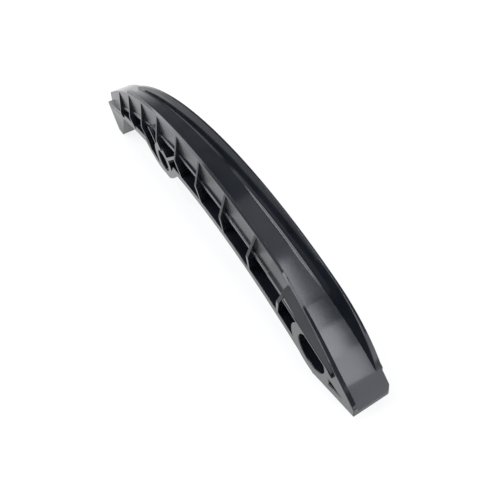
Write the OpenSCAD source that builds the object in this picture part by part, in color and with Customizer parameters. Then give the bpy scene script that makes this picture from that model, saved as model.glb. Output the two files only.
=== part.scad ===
// Timing chain guide: one moulded arched rail.
// A running face on top, one tall side rail and one low lip,
// ribbed sides, a pivot boss at the tip end, a bolt ring and a heel.
// Millimetres. X runs from the heel to the tip, Y is the pivot axis, Z is up.
// The origin is the middle of the pivot bore.

/* [Arch] */
// Radius of the running face
face_radius = 248; // [238:1:262]
// Distance along X from the top of the arch to the pivot bore
pivot_reach = 104; // [100:0.5:108]
// Distance down from the top of the arch to the pivot bore
pivot_drop = 38; // [37:0.5:40]
// Distance along X from the top of the arch to the heel end
heel_reach = 116; // [112:0.5:118]
// Distance along X from the top of the arch to the tip end
tip_reach = 127; // [125:0.5:129]
// Angle round the arch where the lead-in begins
lead_angle = 23.5; // [22:0.5:25]
// Radius of the lead-in at the tip
lead_radius = 80; // [70:1:95]
// Soft corner between the running face and the lead-in, in degrees
lead_bend = 2; // [1:0.25:3]

/* [Section] */
// Full width of flange, bosses and ribs
body_w = 15.8; // [14:0.1:18]
// Width of the head at its top edge
head_w = 10; // [9:0.1:11]
// Depth of the crown, the upright top of the head
crown_t = 2; // [1.5:0.1:3]
// Width of the head just above the waist rib
head_low_w = 11.4; // [10.6:0.1:12.4]
// Depth of the head side from its top edge to the waist rib
head_h = 9; // [8:0.1:10]
// Height of the waist rib
waist_h = 2.2; // [1.6:0.1:3]
// Width over the two waist ribs
waist_w = 13; // [12:0.1:13.6]
// Thickness of the middle web
web_t = 3; // [2:0.1:4.5]

/* [Flange] */
// Depth from the running face to the flange underside at the top of the arch
flange_depth = 25; // [23:0.5:27]
// Thickness of the flange
flange_t = 3.6; // [2.5:0.1:4.5]
// Radius of the flange underside on the heel side
flange_heel_radius = 550; // [460:10:700]

/* [Ribs] */
// Thickness of a cross rib
rib_t = 1.4; // [1:0.1:2]
// Spacing of the ribs on the tip side, along the running face
rib_pitch_tip = 22; // [21:0.25:23]
// Spacing of the ribs on the heel side, along the running face
rib_pitch_heel = 23.25; // [22:0.25:24]
// Distance of the middle rib from the top of the arch, toward the tip
rib_start = 4.25; // [3:0.25:6]
// Ribs on the tip side of the middle rib
ribs_tip = 4; // [2:1:4]
// Ribs on the heel side of the middle rib
ribs_heel = 4; // [2:1:4]
// Depth at which a rib reaches its full width
rib_knee = 12; // [10:0.5:14]
// Height by which a rib stands proud of the flange edge
rib_proud = 0.8; // [0.2:0.1:1.4]
// Depth at which a rib leaves the head side
rib_top = 0.6; // [0.4:0.1:2]

/* [Side rail] */
// Height of the rail top over the running face at the top of the rail arc
rail_rise = 5.7; // [5:0.1:6.4]
// Radius of the rail top
rail_radius = 214; // [206:1:224]
// Distance of the top of the rail arc from the top of the arch, toward the tip
rail_shift = 8.5; // [6:0.5:11]
// Angle round the rail arc where its end rounds off
rail_end_angle = 25.3; // [24:0.1:26.5]
// Radius of that rounded end
rail_end_radius = 60; // [54:1:68]
// Soft corner between the rail top and its rounded end, in degrees
rail_end_bend = 4; // [2.5:0.5:7]
// Distance along X from the top of the arch to the rail end
rail_reach = 122; // [118:0.5:123]
// Distance along X from the top of the arch to the heel end of rail and lip
strip_reach = 67; // [62:0.5:70]
// Distance of the rail foot from the mid plane, at the top of the arch
rail_foot = 2.6; // [1.8:0.1:3.4]
// Lean of the inner rail wall
rail_lean = 23; // [15:0.5:26]
// Distance of the outer rail foot from the mid plane, at the top of the arch
rail_back = 4.4; // [4.1:0.1:5]
// Lean of the outer rail wall
rail_back_lean = 15; // [10:0.5:18]
// Angle by which the channel opens on each side toward the tip
toe = 0.8; // [0.4:0.05:1.2]
// Angle by which the inner rail wall turns out along the flare
rail_flare = 2.6; // [1.6:0.1:3.6]
// Angle by which the outer rail wall turns out along the flare
rail_back_flare = 3.8; // [2.8:0.1:4.8]

/* [Lip] */
// Height of the low lip over the running face
lip_h = 1.2; // [0.6:0.1:1.8]
// Width of the lip at the top of the arch
lip_w = 1.9; // [1.6:0.1:2.6]
// Width of the sloped outer edge of the lip
lip_chamfer = 0.9; // [0.5:0.1:1.2]
// Height of the upright foot of the sloped edge
lip_edge = 0.15; // [0.1:0.05:0.4]
// Width of the lip at the tip
lip_tip_w = 1.6; // [1.2:0.1:2.4]

/* [Tip] */
// Diameter of the pivot bore
pivot_d = 15; // [12:0.1:16.5]
// Diameter of the pivot boss
boss_d = 24; // [22:0.5:26]
// Distance from the pivot axis to the brow, the bar over the pivot boss
brow_gap = 7.9; // [7.7:0.1:8.6]
// Thickness of the brow
brow_t = 1.3; // [0.9:0.1:2]
// Slope of the brow
brow_slope = 24; // [20:0.5:28]
// Distance along X from the top of the arch to the start of the brow
brow_start = 90; // [88:0.5:95]
// Rise of the underside from the boss to the tip
underside_rise = 13; // [10:0.5:16]
// Distance along X from the top of the arch to the start of the flare
flare_start = 84; // [80:1:90]
// Distance along X from the top of the arch to the end of the flare
flare_end = 118; // [112:1:122]
// Step in of the far side past the rail end
far_step = 0.5; // [0.3:0.1:1.4]
// Size of the cut at the far corner of the tip
far_corner = 1.2; // [0.8:0.1:2.5]
// Distance from the pivot axis to the recess beside the boss, along X
recess_reach = 9.8; // [9.2:0.1:10.6]
// Length of the recess along X
recess_l = 6; // [3:0.1:7]
// Height of the recess at its boss end
recess_h = 3.6; // [2:0.1:4.2]
// Drop from the pivot axis to the middle of the recess
recess_drop = 4.4; // [3.6:0.1:5.4]
// Depth of the recess from each side
recess_depth = 3; // [1.5:0.1:5]

/* [Bolt ring] */
// Diameter of the ring bore
ring_d = 11; // [9:0.1:13]
// Outside diameter of the ring
ring_outer_d = 19; // [17:0.5:21]
// Distance along X from the top of the arch to the ring, toward the heel
ring_reach = 19.5; // [17.5:0.5:21.5]
// Distance down from the top of the arch to the ring
ring_drop = 25.5; // [24.5:0.5:26.5]
// Radius of the bulge in the flange round the ring
bulge_radius = 27; // [24:0.5:30]
// Distance of the bulge from the ring along X, toward the heel
bulge_shift = 5; // [3:0.5:6]
// Thickness of the two struts that hold the ring
strut_t = 1.5; // [1:0.1:2]
// Angle of the strut to the waist, from upright toward the heel
strut_waist_angle = 34; // [26:1:42]
// Angle of the strut to the middle rib, from upright toward the tip
strut_rib_angle = 58; // [52:1:64]

/* [Heel] */
// Radius of the rounded heel corner
heel_corner = 9; // [7:0.5:12]
// Lean of the heel end wall
heel_lean = 11; // [5:0.5:15]
// Distance from the pivot axis down to the heel foot
foot_drop = 14.5; // [13:0.1:16]
// Length of the heel foot on the ground
foot_l = 8; // [6:0.5:11]
// Angle of the sloped wall of the foot
foot_slope = 46; // [40:1:55]

/* [Hidden] */
$fa = 2;
$fs = 0.7;
far = 400;
pivot = [pivot_reach, -pivot_drop];
ring = [-ring_reach, -ring_drop];
lead_x = face_radius * sin(lead_angle);
lead = [
    lead_x - lead_radius * sin(lead_angle + lead_bend),
    face_radius * (cos(lead_angle) - 1) - lead_radius * cos(lead_angle + lead_bend)
];
lead_cut = lead_x - lead_radius * sin(lead_bend);
waist_depth = head_h + waist_h;
bulge = ring + [-bulge_shift, bulge_radius - ring_outer_d / 2];
heel_x = heel_corner - heel_reach;
heel_z = sqrt(pow(face_radius - heel_corner, 2) - pow(heel_x, 2)) - face_radius;
foot_z = -pivot_drop - foot_drop;
heel_wall = [heel_x - heel_corner * cos(heel_lean), heel_z - heel_corner * sin(heel_lean)];
foot_x = heel_wall[0] + (heel_wall[1] - foot_z) * tan(heel_lean);
rail_end_x = rail_shift + rail_radius * sin(rail_end_angle);
rail_end_z = rail_rise + rail_radius * (cos(rail_end_angle) - 1);
rail_end_turn = rail_end_angle + rail_end_bend;
rail_end = [
    rail_end_x - rail_end_radius * sin(rail_end_turn),
    rail_end_z - rail_end_radius * cos(rail_end_turn)
];
rail_end_cut = rail_end_x - rail_end_radius * sin(rail_end_bend);
rib_w = body_w + 2 * rib_proud;
rail_tall = 12;
rail_sunk = 7;
rail_hem = 0.5;
heel_sweep = asin(heel_reach / face_radius) + 1;
strip_sweep = asin(strip_reach / face_radius);
tip_sweep = asin(tip_reach / face_radius);
flare_sweep = asin(flare_start / face_radius) + 0.5;
lead_lap = 1;
lead_sweep = asin((tip_reach - lead[0]) / lead_radius) + 3;
lead_foot = rail_foot + lead_x * tan(toe);
lead_back = rail_back + lead_x * tan(toe);
head_top_w = head_w - 0.1;
lip_start_w = lip_w - flare_start * tan(toe);
lip_heel_w = lip_w + strip_reach * tan(toe);

// Side view: all that is right of an upright line
module right_of(x) {
    translate([x, -far])
        square([2 * far, 2 * far]);
}

// Side view: all that is left of an upright line
module left_of(x) {
    mirror([1, 0])
        right_of(-x);
}

// Side view: all that is under the running face, lowered by a depth
module under(depth) {
    intersection() {
        translate([0, -face_radius])
            circle(r = face_radius - depth);
        union() {
            left_of(lead_cut);
            translate(lead)
                circle(r = lead_radius - depth);
        }
    }
}

// Side view: all that is under the flange underside, raised by a thickness
module under_flange(raise) {
    difference() {
        translate([0, -flange_depth - flange_heel_radius])
            circle(r = flange_heel_radius + raise);
        right_of(0);
    }
    intersection() {
        translate([0, -face_radius])
            circle(r = face_radius - flange_depth + raise);
        right_of(0);
    }
}

// Side view: the heel end, with its rounded corner and leaning wall
module heel_end() {
    right_of(heel_x);
    translate([heel_x, heel_z])
        circle(r = heel_corner);
    polygon([[heel_x, heel_z], heel_wall, [foot_x, foot_z], [heel_x, foot_z]]);
}

// Side view: the body between head and flange underside, up to the pivot
module body_side(raise) {
    intersection() {
        heel_end();
        difference() {
            union() {
                difference() {
                    under(0);
                    under_flange(raise);
                }
                intersection() {
                    translate(bulge)
                        circle(r = bulge_radius - raise);
                    under(head_h);
                }
            }
            right_of(pivot[0]);
        }
    }
}

// Side view: the foot under the heel
module foot_side() {
    foot_end = foot_x + foot_l;
    foot_top = (-flange_depth - foot_z) / tan(foot_slope);
    intersection() {
        heel_end();
        polygon([
            [-heel_reach, -flange_depth],
            [-heel_reach, foot_z],
            [foot_end, foot_z],
            [foot_end + foot_top, -flange_depth]
        ]);
        under_flange(flange_t);
    }
}

// Side view: all that is above the underside, up to the tip end
module tip_bounds() {
    difference() {
        translate(pivot)
            rotate(underside_rise)
                translate([-far, -boss_d / 2])
                    square([2 * far, 2 * far]);
        right_of(tip_reach);
    }
}

// Side view: the tip from the start of the flare
module tip_side() {
    intersection() {
        under(0);
        right_of(flare_start);
        tip_bounds();
    }
}

// A side view given a width across the part
module wide(width) {
    rotate([90, 0, 0])
        linear_extrude(height = width, center = true)
            children();
}

// A section swept round a middle in side view, between two angles from upright
module swept_round(middle, radius, from, to) {
    translate([middle[0], 0, middle[1]])
        rotate([-90, 0, 0])
            rotate([0, 0, from - 90])
                rotate_extrude(angle = to - from)
                    translate([radius, 0])
                        children();
}

// A section swept round the arch between two angles
module swept(from, to) {
    swept_round([0, -face_radius], face_radius, from, to)
        children();
}

// The head with its drafted sides and the two waist ribs
module head() {
    intersection() {
        swept(-heel_sweep, flare_sweep)
            polygon([
                [-crown_t / 2, -head_top_w / 2],
                [-crown_t / 2, head_top_w / 2],
                [-head_h, head_low_w / 2],
                [-head_h, waist_w / 2],
                [-waist_depth, waist_w / 2],
                [-waist_depth, -waist_w / 2],
                [-head_h, -waist_w / 2],
                [-head_h, -head_low_w / 2]
            ]);
        wide(body_w)
            heel_end();
    }
}

// The middle web, from inside the head to inside the flange
module web() {
    wide(web_t)
        intersection() {
            body_side(flange_t / 2);
            under(head_h / 2);
        }
}

// The flange with its bulge, and the foot
module flange() {
    wide(body_w) {
        difference() {
            body_side(0);
            body_side(flange_t);
            over(waist_depth);
        }
        foot_side();
    }
}

// Side view: all that is above the running face, lowered by a depth
module over(depth) {
    difference() {
        right_of(-far);
        under(depth);
    }
}

// One cross rib, at a distance along the running face
module rib(along) {
    turn = along / face_radius * 180 / PI;
    translate([0, 0, -face_radius])
        rotate([0, turn, 0])
            translate([0, 0, face_radius])
                rotate([90, 0, 90])
                    linear_extrude(height = rib_t, center = true)
                        polygon([
                            [-head_w / 2, -rib_top],
                            [-rib_w / 2, -rib_knee],
                            [-body_w / 2, flange_t - flange_depth],
                            [-body_w / 2, -2 * flange_depth],
                            [body_w / 2, -2 * flange_depth],
                            [body_w / 2, flange_t - flange_depth],
                            [rib_w / 2, -rib_knee],
                            [head_w / 2, -rib_top]
                        ]);
}

// The cross ribs, trimmed to the body
module ribs() {
    intersection() {
        wide(rib_w)
            difference() {
                body_side(flange_t / 2);
                translate(ring)
                    circle(d = (ring_d + ring_outer_d) / 2);
            }
        for (i = [-ribs_heel : ribs_tip])
            rib(rib_start + i * (i < 0 ? rib_pitch_heel : rib_pitch_tip));
    }
}

// The ring and its two struts, without its bore
module bolt_ring() {
    wide(body_w) {
        translate(ring)
            circle(d = ring_outer_d);
        intersection() {
            translate(ring)
                rotate(strut_waist_angle)
                    translate([-strut_t / 2, 0])
                        square([strut_t, ring_outer_d]);
            under(head_h);
        }
        difference() {
            translate(ring)
                rotate(-strut_rib_angle)
                    translate([-strut_t / 2, 0])
                        square([strut_t, 2 * ring_outer_d]);
            translate([0, -face_radius])
                rotate(-rib_start / face_radius * 180 / PI)
                    right_of(0);
        }
    }
}

// Side view: all that is under the brow, raised by a height
module under_brow(raise) {
    translate(pivot)
        rotate(-brow_slope)
            translate([-far, -2 * far])
                square([2 * far, 2 * far + brow_gap + raise]);
}

// The pivot boss with its brow and the solid tip, without the bore
module tip_block() {
    wide(body_w)
        intersection() {
            tip_side();
            under_brow(brow_t / 2);
            union() {
                translate(pivot)
                    circle(d = boss_d);
                right_of(pivot[0]);
            }
        }
    wide(rib_w)
        intersection() {
            difference() {
                under_brow(brow_t);
                under_brow(0);
            }
            under(crown_t);
            tip_bounds();
            right_of(brow_start);
        }
    intersection() {
        wide(body_w)
            difference() {
                tip_side();
                under(waist_depth);
                over(crown_t / 2);
            }
        upright()
            flared();
    }
}

// Plan view of the crown, which flares to the full width at the tip
module flared() {
    polygon([
        [-heel_reach, -head_w / 2],
        [flare_start, -head_w / 2],
        [flare_end, -body_w / 2],
        [tip_reach, -body_w / 2],
        [tip_reach, body_w / 2],
        [flare_end, body_w / 2],
        [flare_start, head_w / 2],
        [-heel_reach, head_w / 2]
    ]);
}

// The crown, whose top is the running face
module crown() {
    intersection() {
        wide(body_w)
            intersection() {
                difference() {
                    under(0);
                    under(crown_t);
                }
                heel_end();
                tip_bounds();
            }
        upright()
            flared();
    }
}

// A plan view given a great height
module upright() {
    translate([0, 0, -far])
        linear_extrude(height = 2 * far)
            children();
}

// A section swept round the lead-in, turned out by an angle from its foot
module swept_lead(foot, turn) {
    translate([lead_x, foot, 0])
        rotate([0, 0, turn])
            translate([-lead_x, 0, 0])
                swept_round(lead, lead_radius, 0, lead_sweep)
                    children();
}

// All that is outward of the inner rail wall, above a sunk base
module outward(foot) {
    polygon([
        [-rail_sunk, foot - rail_sunk * tan(rail_lean)],
        [rail_tall, foot + rail_tall * tan(rail_lean)],
        [rail_tall, 2 * body_w],
        [-rail_sunk, 2 * body_w]
    ]);
}

// All that is inward of the outer rail wall, which turns in under the running face
module inward(back) {
    polygon([
        [-2 * rail_sunk, -2 * body_w],
        [rail_tall, -2 * body_w],
        [rail_tall, back + rail_tall * tan(rail_back_lean)],
        [rail_hem, back + rail_hem * tan(rail_back_lean)],
        [-2 * rail_sunk, back - 2 * rail_sunk * tan(rail_lean)]
    ]);
}

// The tall rail on one side, between its two walls and under its top
module side_rail() {
    intersection() {
        rotate([0, 0, toe])
            swept(-strip_sweep, tip_sweep)
                outward(rail_foot);
        union() {
            swept_lead(lead_foot, rail_flare)
                outward(0);
            wide(4 * body_w)
                left_of(lead_x - lead_lap);
        }
        union() {
            rotate([0, 0, toe])
                swept(-strip_sweep - 1, tip_sweep + 1)
                    inward(rail_back);
            swept_lead(lead_back, rail_back_flare)
                inward(0);
        }
        wide(body_w)
            rail_side();
    }
}

// The far side of the tip, cut back past the rail end, with a cut corner
module far_cut() {
    side = body_w / 2 - far_step;
    upright()
        polygon([
            [rail_reach, side],
            [tip_reach - far_corner, side],
            [tip_reach + far_step, side - far_corner - far_step],
            [tip_reach + far_step, body_w],
            [rail_reach, body_w]
        ]);
}

// Side view: all that is under the rail top
module rail_side() {
    intersection() {
        translate([rail_shift, rail_rise - rail_radius])
            circle(r = rail_radius);
        left_of(rail_reach);
        union() {
            left_of(rail_end_cut);
            translate(rail_end)
                circle(r = rail_end_radius);
        }
    }
}

// The low lip on the other side, which follows the flare at the tip
module lip() {
    difference() {
        intersection() {
            wide(body_w)
                intersection() {
                    difference() {
                        under(-lip_h);
                        under(crown_t / 2);
                    }
                    tip_bounds();
                    right_of(-strip_reach);
                }
            upright()
                polygon([
                    [-strip_reach, -head_w / 2],
                    [flare_start, -head_w / 2],
                    [flare_end, -body_w / 2],
                    [tip_reach, -body_w / 2],
                    [tip_reach, lip_tip_w - body_w / 2],
                    [flare_end, lip_tip_w - body_w / 2],
                    [flare_start, lip_start_w - head_w / 2],
                    [-strip_reach, lip_heel_w - head_w / 2]
                ]);
        }
        swept(-heel_sweep, flare_sweep)
            polygon([
                [lip_edge, -head_w],
                [lip_edge, -head_w / 2],
                [lip_h + lip_edge, lip_chamfer - head_w / 2],
                [2 * lip_h, lip_chamfer - head_w / 2],
                [2 * lip_h, -head_w]
            ]);
    }
}

// The whole guide, with the origin in the pivot bore
module chain_guide() {
    color([0.12, 0.125, 0.14])
        translate([-pivot[0], 0, -pivot[1]])
            difference() {
                union() {
                    crown();
                    head();
                    web();
                    flange();
                    ribs();
                    bolt_ring();
                    tip_block();
                    side_rail();
                    lip();
                }
                far_cut();
                wide(2 * body_w) {
                    translate(pivot)
                        circle(d = pivot_d);
                    translate(ring)
                        circle(d = ring_d);
                }
                for (side = [-1, 1])
                    translate([0, side * body_w / 2, 0])
                        wide(2 * recess_depth)
                            translate(pivot + [recess_reach, -recess_drop])
                                polygon([[0, -recess_h / 2], [recess_l, 0], [0, recess_h / 2]]);
            }
}

chain_guide();
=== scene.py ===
"""Timing chain guide: the looks of one moulded nylon rail, on a white table under soft studio light."""

import math

import bmesh
import bpy
import numpy as np
from mathutils import Matrix, Vector


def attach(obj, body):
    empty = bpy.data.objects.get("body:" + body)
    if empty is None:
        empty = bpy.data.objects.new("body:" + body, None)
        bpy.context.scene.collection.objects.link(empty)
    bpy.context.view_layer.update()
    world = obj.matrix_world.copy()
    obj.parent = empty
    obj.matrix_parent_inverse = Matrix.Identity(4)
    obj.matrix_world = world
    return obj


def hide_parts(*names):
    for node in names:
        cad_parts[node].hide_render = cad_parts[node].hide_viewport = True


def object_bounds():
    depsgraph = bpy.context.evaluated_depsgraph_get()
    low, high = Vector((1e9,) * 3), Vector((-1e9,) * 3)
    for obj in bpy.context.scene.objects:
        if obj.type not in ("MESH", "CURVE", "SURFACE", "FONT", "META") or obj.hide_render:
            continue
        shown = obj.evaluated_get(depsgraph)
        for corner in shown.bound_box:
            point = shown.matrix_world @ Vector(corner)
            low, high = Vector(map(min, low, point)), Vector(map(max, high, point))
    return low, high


bl_info = {
    "name": "Timing chain guide",
    "version": (1, 0, 0),
    "blender": (4, 5, 0),
    "location": "View3D > Sidebar > Chain guide",
    "description": "Rounds a moulded chain guide's edges, gives it a nylon finish and sets up a studio",
    "category": "Object",
}

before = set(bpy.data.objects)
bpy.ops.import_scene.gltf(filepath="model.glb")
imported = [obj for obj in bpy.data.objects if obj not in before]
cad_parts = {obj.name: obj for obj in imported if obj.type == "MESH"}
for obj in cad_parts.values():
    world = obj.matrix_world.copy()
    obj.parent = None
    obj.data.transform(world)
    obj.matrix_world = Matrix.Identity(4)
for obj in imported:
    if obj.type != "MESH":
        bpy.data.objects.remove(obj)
CAD_LOW, CAD_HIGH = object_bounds()
NODE = "chain_guide"
BODY = "root"

# The finish has a name of its own, because model.glb brings a plain material named for the slot
FINISH = "moulded_nylon"

# The photograph's frame is square, and the camera's sensor is 36 mm wide
FRAME_PX = 500
SENSOR_MM = 36.0
CLIP_NEAR, CLIP_FAR = 0.01, 20

# Points closer than this are one, and faces that turn less than this are flat
WELD = 1e-6
FLAT = math.radians(0.4)
TINY = 1e-9

# Where on an edge its room is measured, the share of it that the rounding takes, and how the room evens out
RAY_STARTS = (0.1, 0.5, 0.9)
ROOM_SHARE = 0.42
SHOULDER_SHARE = 0.55
ROOM_STEP = 0.00015
EVEN_PASSES = 12

# The running face in side view: middle and radius of the arch and of its lead-in, from the pivot bore
ARCH_X, ARCH_Z, ARCH_R = -0.104, -0.21, 0.248
LEAD_X, LEAD_Z, LEAD_R = -0.03955, -0.05478, 0.08

# The head's flare: its start, length and growth along the guide, and the half width at its start and end
FLARE_X = -0.02
FLARE_L = 0.034
FLARE_GROWTH = 2.9 / 34
FLARE_HALF = 0.005
FULL_HALF = FLARE_HALF + FLARE_GROWTH * FLARE_L

# The lip's shoulder: its length from the start of the flare, its least height over the running face,
# and how far inside the head's side it may lie
SHOULDER_L = 0.044
SHOULDER_OVER = 0.001
SHOULDER_INSIDE = 0.0001

# The head and waist: half widths at their foot, and depths under the running face
HEAD_LOW = 0.0057
HEAD_H = 0.009
WAIST_HALF = 0.0065
WAIST_DEPTH = 0.0112

# The lip at the flare: its height over the face, and its inner side's distance from the middle and growth
LIP_H = 0.0012
LIP_INNER = 0.00427
LIP_GROWTH = 2.03 / 34

# The brow's upper line in side view: its height at the pivot and its fall along the guide
BROW_Z = 0.01007
BROW_FALL = 0.445

# The rail foot's distance from the mid plane at the top of the arch, its toe-out and the wall's lean
FOOT_Y = 0.0026
FOOT_TOE = math.tan(math.radians(0.8))
WALL_LEAN = math.tan(math.radians(23))

# How far hidden sides of a piece lie inside the moulding, and how far seen sides lie outside it
BURIED = 0.0004
SKIN = BURIED / 10
HEAD_END_SKIN = BURIED / 12

# The cheek: how far its first lower corner stands back, and its lap over the brow
CHEEK_BACK = 0.00159
CHEEK_LAP = BURIED / 4

# The cheek's width grows from its start, and is full at one part in this many of its length
CHEEK_SOON = 2.2

# The lip cap's distance from the start of the flare, and the share of its sine curve left off at each end
CAP_START = 0.0026
CAP_CUT = 0.08

# The share of the fillet's radius that is left at its ends
FILLET_LEAST = 0.05

# Rings along each added piece, and points round the fillet's hollow
CHEEK_RINGS = 41
HEAD_END_RINGS = 13
CAP_RINGS = 81
FILLET_RINGS = 61
FILLET_POINTS = 7

# Upward parts of the surface's direction at which the finish is still satin, and already polished
UP_ENDS = (0.2, 0.35)

# Streaks in the polish: their noise, how it is stretched along the guide, and their share of the roughness
STREAK_SCALE, STREAK_DETAIL = 900, 3
STREAK_STRETCH = (0.05, 1, 0.3)
STREAK_SHARES = (0.9, 1.1)

# Clouds of the two nylon tones: their noise, and where in it the tones are pure
CLOUD_SCALE, CLOUD_DETAIL = 90, 4
TONE_ENDS = (0.35, 0.65)

# The moulded grain's noise and strength, and the nylon's refraction
GRAIN_SCALE, GRAIN_DETAIL = 2200, 2
GRAIN_STRENGTH = 0.15
NYLON_IOR = 1.5

# Gloss of the nylon and of the rail's inner wall, where that wall starts, and how it faces the near side
GLOSS_FULL = 0.5
GLOSS_WALL = 0.2
WALL_STARTS = (FOOT_Y + BURIED, FOOT_Y + 3 * BURIED)
WALL_FACING = (-0.88, -0.8)

# Distance of the softboxes from the guide, and their cool tint
LAMP_AWAY = 3.0
LAMP_TINT = (0.95, 0.98, 1.06)

# The bank of softboxes: angles up from the tip, reach toward the rail, shares of the key light, and
# size as if 1 m away
BANK_ANGLES = (84, 67, 50, 33)
BANK_SIDES = (0.317, 0.327, 0.343, 0.362)
BANK_SHARES = (0.95, 1.0, 1.08, 0.85)
BANK_SIZE = (0.299, 0.4)

# The other softboxes: name, direction from the guide, direction of the long side, and size as if 1 m away
SOFTBOXES = (
    ("ceiling_panel", (-0.12, 0.36, 0.925), (1, 0, 0), (0.6, 0.32)),
    ("thin_strip", (-0.14, -0.29, 0.95), (1, 0, 0), (0.6, 0.16)),
    ("front_softbox", (0.93, 0.31, 0.23), (-0.32, 0.95, 0), (0.4, 0.34)),
    ("near_softbox", (-0.28, -0.72, 0.62), (1, 0, 0), (0.8, 0.6)),
    ("heel_softbox", (-0.95, -0.44, 0.26), (0.42, -0.9, 0), (0.7, 0.45)),
)

# The room's tint, and the upward part of the direction at which it has faded to its overhead brightness
ROOM_TINT = (0.94, 0.97, 1.0, 1)
ROOM_FADE = 0.3

# The table: its gap under the foot, its colour and roughness, and how much of it is seen as plain white
TABLE_GAP = 0.0001
TABLE_COLOUR = (0.9, 0.9, 0.9, 1)
TABLE_ROUGHNESS = 0.8
WHITE_SHARE = 0.85


class GuideSettings(bpy.types.PropertyGroup):
    """Edges, added pieces and finish of the moulding."""

    edge_radius: bpy.props.FloatProperty(
        name="Edge radius", description="Rounding of the moulded edges",
        default=0.0004, unit="LENGTH", precision=5
    )
    edge_steps: bpy.props.IntProperty(
        name="Edge steps", description="Faces across one rounded edge", default=3, min=1, max=6
    )
    sharp_angle: bpy.props.FloatProperty(
        name="Sharp angle", description="Outward edges that turn more than this are rounded",
        default=math.radians(14), subtype="ANGLE"
    )
    piece_sharp: bpy.props.FloatProperty(
        name="Piece angle", description="Edges of added pieces that turn more than this look sharp",
        default=math.radians(40), subtype="ANGLE"
    )
    shoulder_radius: bpy.props.FloatProperty(
        name="Shoulder radius", description="Largest rounding of the lip's outer edge at the tip",
        default=0.0009, unit="LENGTH", precision=5
    )
    cheek_span: bpy.props.FloatVectorProperty(
        name="Cheek", description="Ends of the cheeks along the guide, from the pivot",
        default=(-0.0142, 0.0125), subtype="TRANSLATION", size=2, precision=5
    )
    cheek_half: bpy.props.FloatVectorProperty(
        name="Cheek width", description="Half width over the cheeks' lower edges, at their start and full",
        default=(0.0078, 0.0085), unit="LENGTH", size=2, precision=5
    )
    head_end_span: bpy.props.FloatVectorProperty(
        name="Head end", description="Ends of the head's last stretch along the guide, from the pivot",
        default=(-0.024, -0.0139), subtype="TRANSLATION", size=2, precision=5
    )
    cap_end: bpy.props.FloatProperty(
        name="Cap end", description="End of the lip's sloped top, from the pivot",
        default=0.0222, unit="LENGTH", precision=5
    )
    cap_rise: bpy.props.FloatProperty(
        name="Cap rise", description="Height of the lip's inner edge over its outer edge",
        default=0.0005, unit="LENGTH", precision=5
    )
    cap_set_in: bpy.props.FloatProperty(
        name="Cap set-in", description="Distance of the sloped top from the lip's side",
        default=0.0002, unit="LENGTH", precision=5
    )
    fillet_span: bpy.props.FloatVectorProperty(
        name="Fillet", description="Ends of the rail-foot fillet along the guide, from the pivot",
        default=(-0.056, -0.0065), subtype="TRANSLATION", size=2, precision=5
    )
    fillet_radius: bpy.props.FloatProperty(
        name="Fillet radius", description="Radius of the hollow at the rail foot",
        default=0.001, unit="LENGTH", precision=5
    )
    nylon_dark: bpy.props.FloatVectorProperty(
        name="Nylon, dark", description="Darker of the two nylon tones",
        default=(0.006, 0.007, 0.0095), subtype="COLOR", size=3
    )
    nylon_light: bpy.props.FloatVectorProperty(
        name="Nylon, light", description="Lighter of the two nylon tones",
        default=(0.01, 0.0115, 0.0145), subtype="COLOR", size=3
    )
    polished: bpy.props.FloatProperty(
        name="Roughness, polished", description="Roughness of the running face",
        default=0.1, min=0, max=1, subtype="FACTOR"
    )
    satin: bpy.props.FloatProperty(
        name="Roughness, satin", description="Roughness of the moulded sides",
        default=0.24, min=0, max=1, subtype="FACTOR"
    )
    grain: bpy.props.FloatProperty(
        name="Grain", description="Depth of the fine moulded grain",
        default=0.00002, unit="LENGTH", precision=6
    )


class StudioSettings(bpy.types.PropertyGroup):
    """Camera, lamps, room and table."""

    camera_at: bpy.props.FloatVectorProperty(
        name="Camera", description="Place of the camera",
        default=(0.090964, -0.05718, 0.155931), subtype="TRANSLATION", size=3, precision=5
    )
    camera_right: bpy.props.FloatVectorProperty(
        name="Camera right", description="Direction of the picture's right side",
        default=(0.4872, 0.8599, -0.1525), subtype="DIRECTION", size=3, precision=4
    )
    camera_forward: bpy.props.FloatVectorProperty(
        name="Camera forward", description="Direction of view",
        default=(-0.6976, 0.2782, -0.6602), subtype="DIRECTION", size=3, precision=4
    )
    focal_px: bpy.props.FloatProperty(
        name="Focal length", description="Focal length in picture pixels", default=531.42, subtype="PIXEL"
    )
    centre_px: bpy.props.FloatVectorProperty(
        name="Optical centre", description="Optical centre in picture pixels",
        default=(246.30, 218.78), size=2
    )
    key_light: bpy.props.FloatProperty(
        name="Key light", description="Brightness of the arched bank over the guide, white being 1",
        default=6.0
    )
    ceiling_light: bpy.props.FloatProperty(
        name="Ceiling light", description="Brightness of the panel overhead, white being 1", default=0.65
    )
    strip_light: bpy.props.FloatProperty(
        name="Thin strip", description="Brightness of the thin strip overhead, white being 1", default=12.0
    )
    front_light: bpy.props.FloatProperty(
        name="Front light", description="Brightness of the low softbox before the tip, white being 1",
        default=2.0
    )
    near_light: bpy.props.FloatProperty(
        name="Near light", description="Brightness of the softbox over the ribbed side, white being 1",
        default=3.6
    )
    heel_light: bpy.props.FloatProperty(
        name="Heel light", description="Brightness of the low softbox behind the heel, white being 1",
        default=1.8
    )
    table_size: bpy.props.FloatProperty(
        name="Table", description="Width of the white table", default=6.0, unit="LENGTH"
    )
    room: bpy.props.FloatProperty(
        name="Room", description="Brightness of the room overhead", default=0.22
    )
    horizon: bpy.props.FloatProperty(
        name="Horizon", description="Brightness of the room where it meets the table", default=0.95
    )


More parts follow.
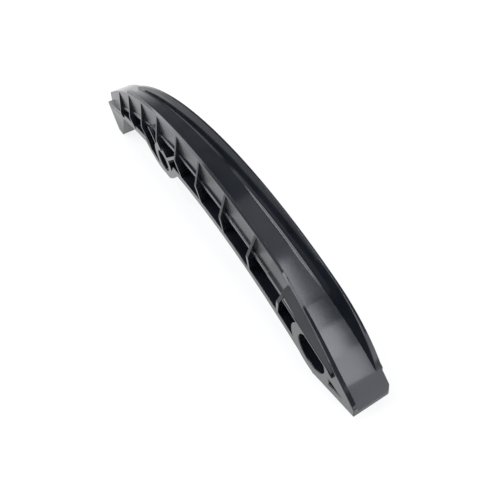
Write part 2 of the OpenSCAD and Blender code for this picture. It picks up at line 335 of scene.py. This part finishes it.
class CHAINGUIDE_OT_moulding(bpy.types.Operator):
    """Make the rounded moulding and give it its nylon finish."""

    bl_idname = "chain_guide.moulding"
    bl_label = "Moulding"

    def execute(self, context):
        settings = context.scene.guide_settings
        mesh = merged_copy(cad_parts[NODE], settings)
        piece = bpy.data.objects.new("guide_moulding", mesh)
        context.scene.collection.objects.link(piece)
        bevel = piece.modifiers.new("rounded_edges", "BEVEL")
        bevel.width = settings.shoulder_radius
        bevel.segments = settings.edge_steps
        bevel.limit_method = "WEIGHT"
        bevel.use_clamp_overlap = False
        bevel.miter_outer = "MITER_ARC"
        normals = piece.modifiers.new("flat_faces_first", "WEIGHTED_NORMAL")
        normals.keep_sharp = True
        mesh.materials.clear()
        mesh.materials.append(nylon(settings))
        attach(piece, BODY)
        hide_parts(NODE)
        return {"FINISHED"}


def merged_copy(source, settings):
    """A copy of a node's mesh with its flat triangles made whole faces.

    Each sharp outward edge gets a rounding weight, which is its radius as a share of the largest one.
    Sharp edges without a weight stay sharp.
    """
    mesh = source.data.copy()
    shape = bmesh.new()
    shape.from_mesh(mesh)
    bmesh.ops.remove_doubles(shape, verts=shape.verts, dist=WELD)
    bmesh.ops.dissolve_limit(shape, angle_limit=FLAT, verts=shape.verts, edges=shape.edges)
    weight = shape.edges.layers.float.new("bevel_weight_edge")
    sharp = [edge for edge in shape.edges if edge.calc_face_angle(0) > settings.sharp_angle]
    room = {edge: edge_room(edge) for edge in sharp if edge.is_convex}
    for edge, free in even_room(room).items():
        if on_shoulder(edge):
            edge[weight] = min(1, SHOULDER_SHARE * free / settings.shoulder_radius)
        else:
            edge[weight] = min(settings.edge_radius, ROOM_SHARE * free) / settings.shoulder_radius
    for edge in sharp:
        edge.smooth = edge[weight] > 0
    for face in shape.faces:
        face.smooth = True
    shape.to_mesh(mesh)
    shape.free()
    return mesh


def edge_room(edge):
    """The edge's length, or the way square to it across either of its faces where that is shorter."""
    return min(edge.calc_length(), *(way_across(edge, loop.face) for loop in edge.link_loops))


def way_across(edge, face):
    """Where rays from three points of the edge, square to it in the face, first meet a side of the face.

    With corner P and side D, the ray from S along N meets the side at (P - S) x D / (N x D) along the
    ray, and at (P - S) x N / (N x D) along the side.
    """
    first, second = (np.array(vert.co) for vert in edge.verts)
    along = (second - first) / np.linalg.norm(second - first)
    square = np.cross(np.array(face.normal), along)
    corners = np.array([vert.co for vert in face.verts]) - first
    flat = np.stack([corners @ along, corners @ square], 1)
    sides = np.roll(flat, -1, 0) - flat
    if flat[:, 1].sum() < 0:
        flat, sides = flat * (1, -1), sides * (1, -1)
    starts = np.linalg.norm(second - first) * np.array(RAY_STARTS)
    offset = flat[None] - np.stack([starts, 0 * starts], 1)[:, None]
    slope = np.where(abs(sides[:, 0]) < TINY, TINY, sides[:, 0])
    reach = (offset[..., 1] * sides[:, 0] - offset[..., 0] * sides[:, 1]) / slope
    share = -offset[..., 0] / slope
    hits = reach[(share > -TINY) & (share < 1 + TINY) & (reach > WELD)]
    return hits.min() if len(hits) else 0.0


def even_room(room):
    """The same room, but growing by no more than a step from one edge to the next along a line of edges."""
    for _ in range(EVEN_PASSES):
        for edge in room:
            for vert in edge.verts:
                beside = [other for other in vert.link_edges if other in room and other is not edge]
                if len(beside) == 1:
                    room[edge] = min(room[edge], room[beside[0]] + ROOM_STEP)
    return room


def on_shoulder(edge):
    """Whether an edge is part of the lip's outer top edge at the tip."""
    return all(
        FLARE_X < vert.co.x < FLARE_X + SHOULDER_L
        and vert.co.y < SHOULDER_INSIDE - min(FULL_HALF, flare_half(vert.co.x))
        and vert.co.z > face_height(vert.co.x) + SHOULDER_OVER
        for vert in edge.verts
    )


def face_height(x, over=0.0):
    """Height of a line over the running face: the lower of two circles in side view, arch and lead-in."""
    arch = ARCH_Z + np.sqrt((ARCH_R + over) ** 2 - (x - ARCH_X) ** 2)
    lead = LEAD_Z + np.sqrt((LEAD_R + over) ** 2 - (x - LEAD_X) ** 2)
    return np.where(x < LEAD_X, arch, np.minimum(arch, lead))


def flare_half(x):
    """Half the head's width at the flare: that at its start plus a steady growth toward the tip."""
    return FLARE_HALF + FLARE_GROWTH * (x - FLARE_X)


def round_arch(x, y, over):
    """Points that lie that far over the running face, square to the arch where it passes x."""
    lean = np.arcsin((x - ARCH_X) / ARCH_R)
    radius = ARCH_R + over
    return np.stack([ARCH_X + radius * np.sin(lean), y, ARCH_Z + radius * np.cos(lean)], -1)


def add_piece(scene, name, rings, settings):
    """A closed nylon piece: neighbouring rings are joined by strips of faces, and the end rings filled."""
    index = np.arange(rings.shape[0] * rings.shape[1]).reshape(rings.shape[:2])
    turned = np.roll(index, -1, 1)
    strips = np.stack([index[:-1], turned[:-1], turned[1:], index[1:]], -1).reshape(-1, 4)
    faces = [*strips.tolist(), index[0].tolist(), index[-1].tolist()]
    mesh = bpy.data.meshes.new(name)
    mesh.from_pydata(rings.reshape(-1, 3).tolist(), [], faces)
    shape = bmesh.new()
    shape.from_mesh(mesh)
    bmesh.ops.recalc_face_normals(shape, faces=shape.faces)
    shape.to_mesh(mesh)
    shape.free()
    mesh.shade_smooth()
    mesh.set_sharp_from_angle(angle=settings.piece_sharp)
    mesh.materials.append(bpy.data.materials[FINISH])
    piece = bpy.data.objects.new(name, mesh)
    scene.collection.objects.link(piece)
    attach(piece, BODY)


def add_pair(scene, name, side_rings, settings):
    """A piece on the near side, and its mirror image on the far side."""
    for place, side in (("near", -1), ("far", 1)):
        add_piece(scene, f"{name}_{place}", side_rings(settings, side), settings)


class CHAINGUIDE_OT_cheeks(bpy.types.Operator):
    """Make the cheeks that close the hollow between the flared head and the brow, on both sides."""

    bl_idname = "chain_guide.cheeks"
    bl_label = "Cheeks"

    def execute(self, context):
        add_pair(context.scene, "cheek", cheek_rings, context.scene.guide_settings)
        return {"FINISHED"}


def cheek_rings(settings, side):
    """Four corners carried along the guide: the head's side, the brow's upper line, and two inside.

    The lower corners stand back from the upper ones where the arch is steep, so that the first ring
    lies along a rib. The width over them eases from its start to full as 3 E squared less 2 E cubed.
    """
    share = np.linspace(0, 1, CHEEK_RINGS)
    x = np.linspace(*settings.cheek_span, CHEEK_RINGS)
    low_x = x - CHEEK_BACK * (1 - share)
    top = face_height(x) - BURIED
    low = BROW_Z - BROW_FALL * low_x - CHEEK_LAP
    start, full = settings.cheek_half
    ease = np.clip(share * CHEEK_SOON, 0, 1)
    half = start + (full - start) * ease * ease * (3 - 2 * ease)
    inner = np.full_like(x, FLARE_HALF - BURIED)
    along = np.stack([x, low_x, low_x, x], 1)
    across = side * np.stack([flare_half(x) + SKIN, half, inner, inner], 1)
    return np.stack([along, across, np.stack([top, low, low, top], 1)], -1)


class CHAINGUIDE_OT_head_ends(bpy.types.Operator):
    """Make the last stretch of the head's side and waist, up to the last rib, on both sides."""

    bl_idname = "chain_guide.head_ends"
    bl_label = "Head ends"

    def execute(self, context):
        add_pair(context.scene, "head_end", head_end_rings, context.scene.guide_settings)
        return {"FINISHED"}


def head_end_rings(settings, side):
    """Six corners carried round the arch: down the head's side, out and down the waist, and up inside."""
    x = np.linspace(*settings.head_end_span, HEAD_END_RINGS)[:, None]
    top = np.maximum(flare_half(x), FLARE_HALF) + HEAD_END_SKIN
    outer = np.array([HEAD_LOW, WAIST_HALF, WAIST_HALF]) + HEAD_END_SKIN + 0 * x
    inner = np.full_like(x, FLARE_HALF - BURIED)
    depth = np.array([BURIED, HEAD_H, HEAD_H, WAIST_DEPTH, WAIST_DEPTH, BURIED])
    return round_arch(x, side * np.concatenate([top, outer, inner, inner], 1), -depth)


class CHAINGUIDE_OT_lip_cap(bpy.types.Operator):
    """Make the sloped top of the lip from the start of the flare to the tip."""

    bl_idname = "chain_guide.lip_cap"
    bl_label = "Lip cap"

    def execute(self, context):
        settings = context.scene.guide_settings
        add_piece(context.scene, "lip_cap", lip_cap_rings(settings), settings)
        return {"FINISHED"}


def lip_cap_rings(settings):
    """Four corners carried along the lip: its outer edge, its inner edge raised by the slope, two inside.

    The slope's rise follows the root of half a sine wave, from little at the start of the flare to
    little at the tip.
    """
    share = np.linspace(0, 1, CAP_RINGS)
    x = np.linspace(FLARE_X + CAP_START, settings.cap_end, CAP_RINGS)
    flared = np.minimum(x, FLARE_X + FLARE_L)
    outer = flare_half(flared) - settings.cap_set_in
    inner = LIP_INNER + LIP_GROWTH * (flared - FLARE_X) + SKIN
    top = face_height(x, LIP_H)
    rise = settings.cap_rise * np.sqrt(np.sin(np.pi * (CAP_CUT + (1 - 2 * CAP_CUT) * share)))
    along = np.stack([x, x, x, x], 1)
    across = -np.stack([outer, outer, inner, inner], 1)
    return np.stack([along, across, np.stack([top - BURIED, top, top + rise, top - BURIED], 1)], -1)


class CHAINGUIDE_OT_fillet(bpy.types.Operator):
    """Make the hollow fillet between the running face and the rail wall."""

    bl_idname = "chain_guide.fillet"
    bl_label = "Rail-foot fillet"

    def execute(self, context):
        settings = context.scene.guide_settings
        add_piece(context.scene, "rail_fillet", fillet_rings(settings), settings)
        return {"FINISHED"}


def fillet_rings(settings):
    """A hollow quarter circle carried round the arch along the rail foot, dying away at both ends.

    At turn T the quarter circle of radius R lies R sin T - R across the foot and R - R cos T up from
    the face. R follows the root of half a sine wave along the guide.
    """
    share = np.linspace(0, 1, FILLET_RINGS)[:, None]
    x = np.linspace(*settings.fillet_span, FILLET_RINGS)[:, None]
    swell = np.sqrt(np.sin(np.pi * share).clip(0))
    radius = settings.fillet_radius * (FILLET_LEAST + (1 - FILLET_LEAST) * swell)
    turn = np.linspace(0, np.pi / 2, FILLET_POINTS)
    inside = np.full_like(x, BURIED)
    across = np.concatenate([radius * (np.sin(turn) - 1), inside, inside, -radius], 1)
    rise = np.concatenate([radius * (1 - np.cos(turn)), radius, -inside, -inside], 1)
    foot = FOOT_Y + FOOT_TOE * (x - ARCH_X)
    return round_arch(x, foot + across + np.maximum(rise, 0) * WALL_LEAN, rise)


def nylon(settings):
    """Black nylon: two close tones in soft clouds, with a fine grain, a polish and a duller rail wall."""
    material = bpy.data.materials.new(FINISH)
    material.use_nodes = True
    tree = material.node_tree
    shader = tree.nodes["Principled BSDF"]
    place = tree.nodes.new("ShaderNodeTexCoord")
    clouds = noise(tree, place.outputs["Object"], CLOUD_SCALE, CLOUD_DETAIL)
    tone = tree.nodes.new("ShaderNodeValToRGB")
    colours = (settings.nylon_dark, settings.nylon_light)
    for stop, position, colour in zip(tone.color_ramp.elements, TONE_ENDS, colours):
        stop.position = position
        stop.color = (*colour, 1)
    tree.links.new(clouds, tone.inputs["Fac"])
    tree.links.new(tone.outputs["Color"], shader.inputs["Base Color"])
    tree.links.new(polish(tree, place, settings), shader.inputs["Roughness"])
    bump = tree.nodes.new("ShaderNodeBump")
    bump.inputs["Strength"].default_value = GRAIN_STRENGTH
    bump.inputs["Distance"].default_value = settings.grain
    grain = noise(tree, place.outputs["Object"], GRAIN_SCALE, GRAIN_DETAIL)
    tree.links.new(grain, bump.inputs["Height"])
    tree.links.new(bump.outputs["Normal"], shader.inputs["Normal"])
    shader.inputs["IOR"].default_value = NYLON_IOR
    tree.links.new(wall_gloss(tree, place), shader.inputs["Specular IOR Level"])
    return material


def polish(tree, place, settings):
    """Roughness that goes from satin to polished as the surface turns up, with streaks along the guide."""
    finish = span(tree, place.outputs["Normal"], "Z", UP_ENDS, (settings.satin, settings.polished))
    stretch = tree.nodes.new("ShaderNodeMapping")
    stretch.inputs["Scale"].default_value = STREAK_STRETCH
    tree.links.new(place.outputs["Object"], stretch.inputs["Vector"])
    streaks = noise(tree, stretch.outputs["Vector"], STREAK_SCALE, STREAK_DETAIL)
    return combined(tree, "MULTIPLY", finish, between(tree, streaks, STREAK_SHARES))


def wall_gloss(tree, place):
    """Gloss that is full but on the rail's inner wall, which is past its foot and faces the near side."""
    past = span(tree, place.outputs["Object"], "Y", WALL_STARTS, (0, 1))
    facing = span(tree, place.outputs["Normal"], "Y", WALL_FACING, (1, 0))
    return between(tree, combined(tree, "MULTIPLY", past, facing), (GLOSS_FULL, GLOSS_WALL))


def noise(tree, place, scale, detail):
    """A noise of one scale, from 0 to 1."""
    node = tree.nodes.new("ShaderNodeTexNoise")
    node.inputs["Scale"].default_value = scale
    node.inputs["Detail"].default_value = detail
    tree.links.new(place, node.inputs["Vector"])
    return node.outputs["Fac"]


def span(tree, vector, axis, ends, values):
    """One part of a vector, taken smoothly from a first value to a second between two ends."""
    split = tree.nodes.new("ShaderNodeSeparateXYZ")
    tree.links.new(vector, split.inputs["Vector"])
    ease = tree.nodes.new("ShaderNodeMapRange")
    ease.interpolation_type = "SMOOTHSTEP"
    ease.inputs["From Min"].default_value, ease.inputs["From Max"].default_value = ends
    ease.inputs["To Min"].default_value, ease.inputs["To Max"].default_value = values
    tree.links.new(split.outputs[axis], ease.inputs["Value"])
    return ease.outputs["Result"]


def between(tree, share, values):
    """The value that lies at a share, from 0 to 1, of the way from a first value to a second."""
    node = tree.nodes.new("ShaderNodeMapRange")
    node.inputs["To Min"].default_value, node.inputs["To Max"].default_value = values
    tree.links.new(share, node.inputs["Value"])
    return node.outputs["Result"]


def combined(tree, operation, first, second):
    """Two values put together by one operation."""
    node = tree.nodes.new("ShaderNodeMath")
    node.operation = operation
    tree.links.new(first, node.inputs[0])
    tree.links.new(second, node.inputs[1])
    return node.outputs["Value"]


class CHAINGUIDE_OT_studio(bpy.types.Operator):
    """Set the camera, the softboxes, the room and the white table."""

    bl_idname = "chain_guide.studio"
    bl_label = "Studio"

    def execute(self, context):
        settings = context.scene.studio_settings
        set_camera(context.scene, settings)
        set_lights(context.scene, settings)
        set_room(context.scene, settings)
        set_table(context.scene, settings)
        context.scene.view_settings.view_transform = "Standard"
        return {"FINISHED"}


def set_camera(scene, settings):
    """The camera stands where the photograph was taken, with the same view angle and optical centre."""
    data = bpy.data.cameras.new("camera")
    camera = bpy.data.objects.new("camera", data)
    scene.collection.objects.link(camera)
    backward = -Vector(settings.camera_forward).normalized()
    camera.matrix_world = placed(Vector(settings.camera_at), settings.camera_right, backward)
    data.sensor_width = SENSOR_MM
    data.lens = settings.focal_px / FRAME_PX * SENSOR_MM
    data.shift_x = 0.5 - settings.centre_px[0] / FRAME_PX
    data.shift_y = settings.centre_px[1] / FRAME_PX - 0.5
    data.clip_start = CLIP_NEAR
    data.clip_end = CLIP_FAR
    scene.camera = camera


def placed(point, right, backward):
    """The place and turn of a camera or lamp that looks away from backward, with right square to that."""
    right = Vector(right)
    right = (right - backward * right.dot(backward)).normalized()
    turn = Matrix((right, backward.cross(right), backward)).transposed().to_4x4()
    return Matrix.Translation(point) @ turn


def set_lights(scene, settings):
    """An arched bank over the guide, a panel, a thin strip, and softboxes at the tip, ribs and heel."""
    for number, (angle, side, share) in enumerate(zip(BANK_ANGLES, BANK_SIDES, BANK_SHARES)):
        toward = (math.cos(math.radians(angle)), 0, math.sin(math.radians(angle)))
        along = (-toward[2], 0, toward[0])
        aside = side - BANK_SIZE[1] / 2
        name = f"bank_softbox_{number}"
        softbox(scene, name, toward, along, BANK_SIZE, share * settings.key_light, aside)
    levels = (
        settings.ceiling_light,
        settings.strip_light,
        settings.front_light,
        settings.near_light,
        settings.heel_light,
    )
    for (name, toward, along, size), level in zip(SOFTBOXES, levels):
        softbox(scene, name, toward, along, size, level)


def softbox(scene, name, toward, along, size, brightness, aside=0):
    """A flat lamp that faces back along its direction: its power is brightness times area times pi.

    Its size and its way aside, toward the rail, are given as if it stood 1 m away.
    """
    data = bpy.data.lights.new(name, "AREA")
    data.shape = "RECTANGLE"
    data.size, data.size_y = size[0] * LAMP_AWAY, size[1] * LAMP_AWAY
    data.energy = brightness * data.size * data.size_y * math.pi
    data.color = LAMP_TINT
    lamp = bpy.data.objects.new(name, data)
    scene.collection.objects.link(lamp)
    toward = Vector(toward).normalized()
    lamp.matrix_world = placed((toward + Vector((0, aside, 0))) * LAMP_AWAY, along, toward)


def set_room(scene, settings):
    """A pale room that is bright where it meets the table and grey overhead."""
    world = bpy.data.worlds.new("room")
    scene.world = world
    world.use_nodes = True
    tree = world.node_tree
    place = tree.nodes.new("ShaderNodeTexCoord")
    fade = span(tree, place.outputs["Generated"], "Z", (0, ROOM_FADE), (settings.horizon, settings.room))
    back = tree.nodes["Background"]
    back.inputs["Color"].default_value = ROOM_TINT
    tree.links.new(fade, back.inputs["Strength"])


def set_table(scene, settings):
    """A white table just under the guide: a square, with its middle under the pivot."""
    half = settings.table_size / 2
    height = CAD_LOW[2] - TABLE_GAP
    corners = [(x, y, height) for x, y in ((-half, -half), (half, -half), (half, half), (-half, half))]
    mesh = bpy.data.meshes.new("table")
    mesh.from_pydata(corners, [], [(0, 1, 2, 3)])
    mesh.materials.append(white_table())
    table = bpy.data.objects.new("table", mesh)
    scene.collection.objects.link(table)


def white_table():
    """A matt white, seen by the camera and in reflections mostly as plain white, that keeps the shadow."""
    material = bpy.data.materials.new("white_table")
    material.use_nodes = True
    tree = material.node_tree
    shader = tree.nodes["Principled BSDF"]
    shader.inputs["Base Color"].default_value = TABLE_COLOUR
    shader.inputs["Roughness"].default_value = TABLE_ROUGHNESS
    glow = tree.nodes.new("ShaderNodeEmission")
    glow.inputs["Strength"].default_value = 1.0
    path = tree.nodes.new("ShaderNodeLightPath")
    seen = combined(tree, "MAXIMUM", path.outputs["Is Camera Ray"], path.outputs["Is Glossy Ray"])
    mix = tree.nodes.new("ShaderNodeMixShader")
    tree.links.new(between(tree, seen, (0, WHITE_SHARE)), mix.inputs[0])
    tree.links.new(shader.outputs["BSDF"], mix.inputs[1])
    tree.links.new(glow.outputs["Emission"], mix.inputs[2])
    tree.links.new(mix.outputs["Shader"], tree.nodes["Material Output"].inputs["Surface"])
    return material


class CHAINGUIDE_PT_panel(bpy.types.Panel):
    """Chain guide tools in the sidebar."""

    bl_label = "Chain guide"
    bl_idname = "CHAINGUIDE_PT_panel"
    bl_space_type = "VIEW_3D"
    bl_region_type = "UI"
    bl_category = "Chain guide"

    def draw(self, context):
        for operator in OPERATORS:
            self.layout.operator(operator.bl_idname)


OPERATORS = (
    CHAINGUIDE_OT_moulding,
    CHAINGUIDE_OT_cheeks,
    CHAINGUIDE_OT_head_ends,
    CHAINGUIDE_OT_lip_cap,
    CHAINGUIDE_OT_fillet,
    CHAINGUIDE_OT_studio,
)
CLASSES = (GuideSettings, StudioSettings, *OPERATORS, CHAINGUIDE_PT_panel)


def register():
    """Add the settings, operators and panel to Blender."""
    for cls in CLASSES:
        bpy.utils.register_class(cls)
    bpy.types.Scene.guide_settings = bpy.props.PointerProperty(type=GuideSettings)
    bpy.types.Scene.studio_settings = bpy.props.PointerProperty(type=StudioSettings)


def unregister():
    """Take the settings, operators and panel out again."""
    del bpy.types.Scene.studio_settings
    del bpy.types.Scene.guide_settings
    for cls in reversed(CLASSES):
        bpy.utils.unregister_class(cls)


def main():
    register()
    bpy.ops.chain_guide.moulding()
    bpy.ops.chain_guide.cheeks()
    bpy.ops.chain_guide.head_ends()
    bpy.ops.chain_guide.lip_cap()
    bpy.ops.chain_guide.fillet()
    bpy.ops.chain_guide.studio()


if __name__ == "__main__":
    main()
